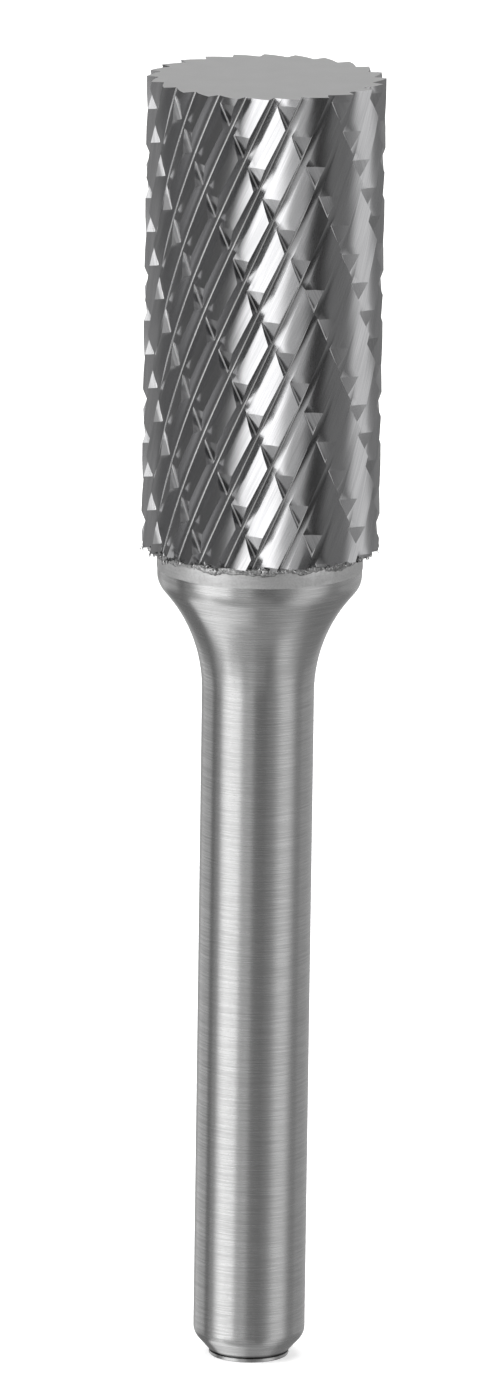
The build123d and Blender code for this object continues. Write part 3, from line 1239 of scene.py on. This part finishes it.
def make_camera(stage):
    """Long lens, slightly raised and slightly leaning."""
    rise, lean = stage.camera_elevation, stage.camera_roll
    forward = Vector((0.0, cos(rise), -sin(rise)))
    level_right, level_up = Vector((1.0, 0.0, 0.0)), Vector((0.0, sin(rise), cos(rise)))
    right = level_right * cos(lean) + level_up * sin(lean)
    up = level_up * cos(lean) - level_right * sin(lean)
    aim = Vector((-stage.aim_aside, 0.0, stage.aim_height))
    turn = Matrix((right, up, -forward)).transposed().to_4x4()
    data = bpy.data.cameras.new("studio_camera")
    data.sensor_width = 36.0
    data.lens = stage.focal_length
    data.clip_start = 0.01
    data.clip_end = 50.0
    camera = new_piece("studio_camera", data)
    camera.matrix_world = Matrix.Translation(aim - forward * stage.camera_distance) @ turn
    bpy.context.scene.camera = camera


# ---- operators -------------------------------------------------------------------------------


class BURR_OT_grind_teeth(bpy.types.Operator):
    """Grind the double-cut teeth in place of the plain carbide head"""

    bl_idname = "burr.grind_teeth"
    bl_label = "Grind teeth"

    def execute(self, context):
        scene = context.scene
        head = new_piece("toothed_head", make_head(scene.burr_teeth, scene.burr_finish))
        add_to_object(head, "ground_carbide", "carbide_head")
        return {"FINISHED"}


class BURR_OT_turn_shank(bpy.types.Operator):
    """Turn the shank, flare, collar and foot in place of the plain shank"""

    bl_idname = "burr.turn_shank"
    bl_label = "Turn shank"

    def execute(self, context):
        shank, finish = context.scene.burr_shank, context.scene.burr_finish
        mesh = make_lathe("turned_shank", shank_outline(shank), shank.segments)
        mesh.materials.append(kept_material(turned_steel_finish, finish, shank))
        mesh.materials.append(kept_material(ground_band_finish, finish))
        band_low = BRAZE_BOX[0].z - shank.band_length - EDGE_SLACK
        for face in mesh.polygons:
            face.material_index = int(face.center.z > band_low)
        add_to_object(new_piece("turned_shank", mesh), "turned_steel", "steel_shank")
        return {"FINISHED"}


class BURR_OT_run_braze(bpy.types.Operator):
    """Run the ragged braze line between the head and the collar"""

    bl_idname = "burr.run_braze"
    bl_label = "Run braze"

    def execute(self, context):
        scene, braze = context.scene, context.scene.burr_braze
        clear_of_head = 0.015 * MM
        values = taken(braze, "segments fillet reach run_size unevenness lump_size seed") | {
            "Collar Radius": scene.burr_shank.collar_radius,
            "Low": BRAZE_BOX[0].z,
            "High": BRAZE_BOX[1].z - clear_of_head,
            "Material": kept_material(braze_metal_finish, scene.burr_finish),
        }
        mesh = grow_piece("braze_line", run_braze, values)
        close_openings(mesh)
        add_to_object(new_piece("braze_line", mesh), "braze_metal", "braze_joint")
        return {"FINISHED"}


class BURR_OT_leave_burrs(bpy.types.Operator):
    """Leave the rolled lip, the flakes and the curls that grinding raised along the seam"""

    bl_idname = "burr.leave_burrs"
    bl_label = "Leave burrs"

    def execute(self, context):
        scene, braze, teeth = context.scene, context.scene.burr_braze, context.scene.burr_teeth
        head = bpy.data.objects.get("toothed_head")
        if head is None:
            raise RuntimeError("the teeth are ground before the burrs")
        inside_gullets = teeth.crest_radius - teeth.flute_depth - 0.3 * MM
        rim = new_piece("teeth_rim", rim_outline(head.data, HEAD_BOX[0].z, inside_gullets))
        shared = {
            "Rim": rim,
            "Wander": braze.lip_wander,
            "Seed": braze.seed,
            "Material": kept_material(braze_metal_finish, scene.burr_finish),
        }
        flake = new_piece("flake_unit", make_leaf("flake", 4, 2, flake_point))
        curl = new_piece("curl_unit", make_leaf("curl", 12, 1, curl_point))
        lip = {"Steps": braze.lip_steps, "Thickness": braze.lip_thickness}
        flakes = burr_values(flake, braze.flake_spots, braze.flake_share, braze.flake_length)
        curls = burr_values(curl, braze.curl_spots, braze.curl_share, braze.curl_size)
        for name, maker, own in (
            ("rolled_lip", rolled_lip, lip),
            ("burr_flakes", rim_burrs, flakes),
            ("burr_curls", rim_burrs, curls),
        ):
            mesh = grow_piece(name, maker, shared | own)
            add_to_object(new_piece(name, mesh), "braze_metal")
        for helper in (rim, flake, curl):
            bpy.data.objects.remove(helper)
        return {"FINISHED"}


class BURR_OT_set_stage(bpy.types.Operator):
    """Set up the floor, wall, lamps, surroundings and camera"""

    bl_idname = "burr.set_stage"
    bl_label = "Set stage"

    def execute(self, context):
        stage = context.scene.burr_stage
        context.scene.view_settings.view_transform = "Standard"
        make_world()
        make_floor(stage)
        make_wall(stage)
        make_lamp("key_lamp", (-0.75, -0.55, 0.75), 0.7, stage.lamp_power)
        make_lamp("fill_lamp", (0.8, -0.5, 0.6), 0.7, stage.lamp_power * 0.5)
        make_lamp("top_lamp", (0.0, 0.3, 1.1), 0.9, stage.lamp_power * 0.7)
        make_camera(stage)
        return {"FINISHED"}


class BURR_PT_dressing(bpy.types.Panel):
    """Lists the settings and the pieces"""

    bl_label = "Carbide burr"
    bl_idname = "BURR_PT_dressing"
    bl_space_type = "VIEW_3D"
    bl_region_type = "UI"
    bl_category = "Carbide burr"

    def draw(self, context):
        for title, group, operators in PANEL_ROWS:
            box = self.layout.box()
            box.label(text=title)
            settings = getattr(context.scene, group)
            for name in settings.__annotations__:
                box.prop(settings, name)
            for name in operators.split():
                box.operator(name)


PANEL_ROWS = (
    ("Head", "burr_teeth", "burr.grind_teeth"),
    ("Shank", "burr_shank", "burr.turn_shank"),
    ("Braze and burrs", "burr_braze", "burr.run_braze burr.leave_burrs"),
    ("Finish", "burr_finish", ""),
    ("Stage", "burr_stage", "burr.set_stage"),
)

SETTINGS = (
    ("burr_teeth", BurrTeethSettings),
    ("burr_shank", BurrShankSettings),
    ("burr_braze", BurrBrazeSettings),
    ("burr_finish", BurrFinishSettings),
    ("burr_stage", BurrStageSettings),
)

CLASSES = (
    *(group for _, group in SETTINGS),
    BURR_OT_grind_teeth,
    BURR_OT_turn_shank,
    BURR_OT_run_braze,
    BURR_OT_leave_burrs,
    BURR_OT_set_stage,
    BURR_PT_dressing,
)


def register():
    for made in CLASSES:
        bpy.utils.register_class(made)
    for name, group in SETTINGS:
        setattr(bpy.types.Scene, name, PointerProperty(type=group))


def unregister():
    for name, _ in SETTINGS:
        delattr(bpy.types.Scene, name)
    for made in reversed(CLASSES):
        bpy.utils.unregister_class(made)


def main():
    register()
    bpy.ops.burr.set_stage()
    bpy.ops.burr.grind_teeth()
    bpy.ops.burr.turn_shank()
    bpy.ops.burr.run_braze()
    bpy.ops.burr.leave_burrs()
    bpy.context.view_layer.update()


if __name__ == "__main__":
    main()
